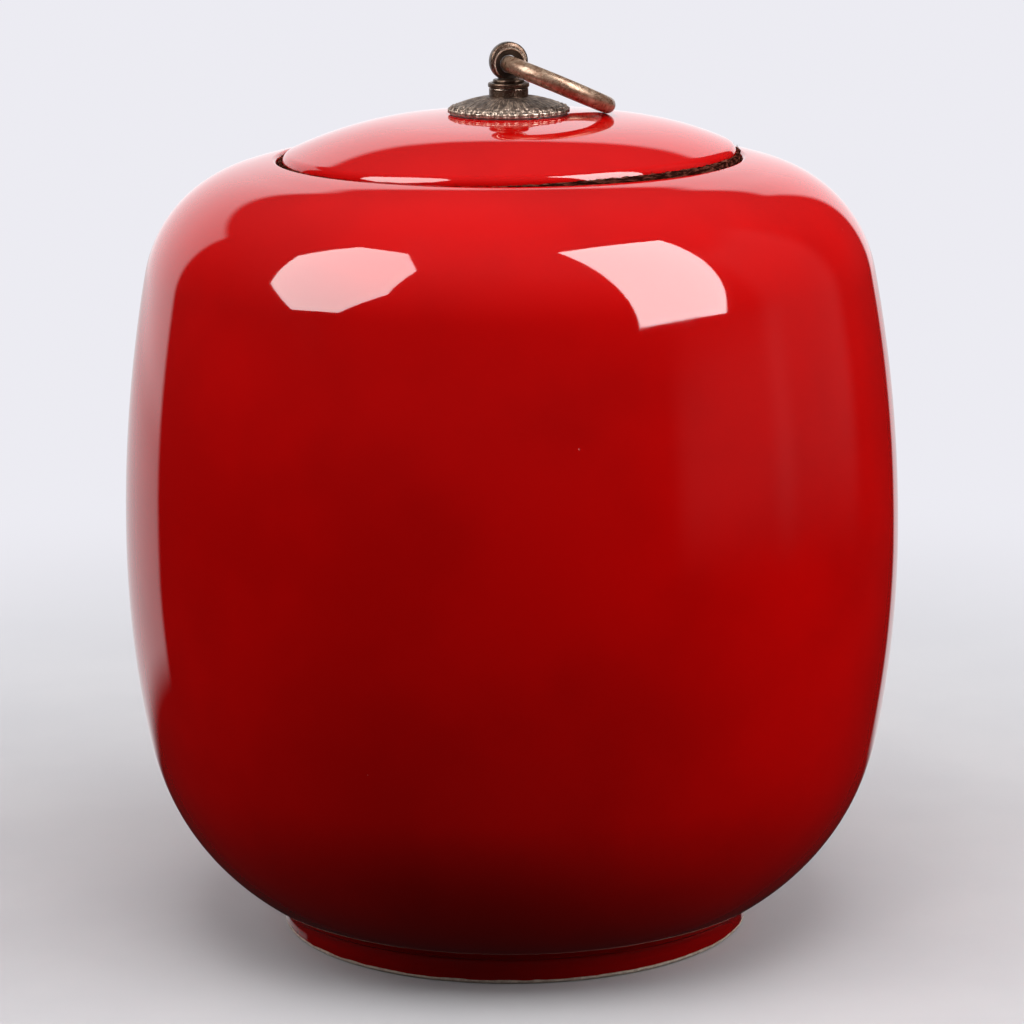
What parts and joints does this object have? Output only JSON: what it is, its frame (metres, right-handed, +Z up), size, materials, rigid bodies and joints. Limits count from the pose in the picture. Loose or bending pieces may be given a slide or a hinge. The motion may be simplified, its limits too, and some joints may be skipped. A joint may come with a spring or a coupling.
{
  "type": "ginger jar",
  "caption": "Round-shouldered glazed porcelain jar with a sunk domed lid, a fibre seal and a bronze finial with a loose pull ring.",
  "frame": {"origin": "centre of the foot ring's underside, on the jar's axis", "axes": "+Z up the jar's axis; +X the side on which the pull ring lies at rest; the ring swings about an axis parallel to Y"},
  "size_m": [0.19, 0.19, 0.2186],
  "materials": {
    "red_glaze": "high-gloss red glaze on white porcelain",
    "fibre": "matted dark brown fibre",
    "soft_pad": "matt black",
    "rosette_bronze": "grainy antique bronze with grey-brown patina",
    "bronze": "dark antique bronze patina, rubbed on its edges",
    "ring_bronze": "satin antique bronze, warm where handled",
    "steel": "zinc-plated"
  },
  "bodies": {
    "jar": {"jar_body": "red_glaze"},
    "seal": {"lid_gasket": "fibre"},
    "lid": {"lid": "red_glaze", "rosette_pad": "soft_pad", "rosette": "rosette_bronze", "collar": "bronze", "eye_bolt": "bronze", "soft_washer": "soft_pad", "steel_washer": "steel", "lid_nut": "steel"},
    "ring": {"pull_ring": "ring_bronze"}
  },
  "joints": [
    {"name": "lid_turn", "type": "hinge", "parent": "jar", "child": "seal", "pos_m": [0, 0, 0.188], "axis": [0, 0, 1], "continuous": true},
    {"name": "lid_lift", "type": "slide", "parent": "seal", "child": "lid", "axis": [0, 0, 1], "range_m": [0, 0.12]},
    {"name": "ring_swing", "type": "hinge", "parent": "lid", "child": "ring", "pos_m": [0, 0, 0.21323], "axis": [0, -1, 0], "range_deg": [0, 227]}
  ]
}
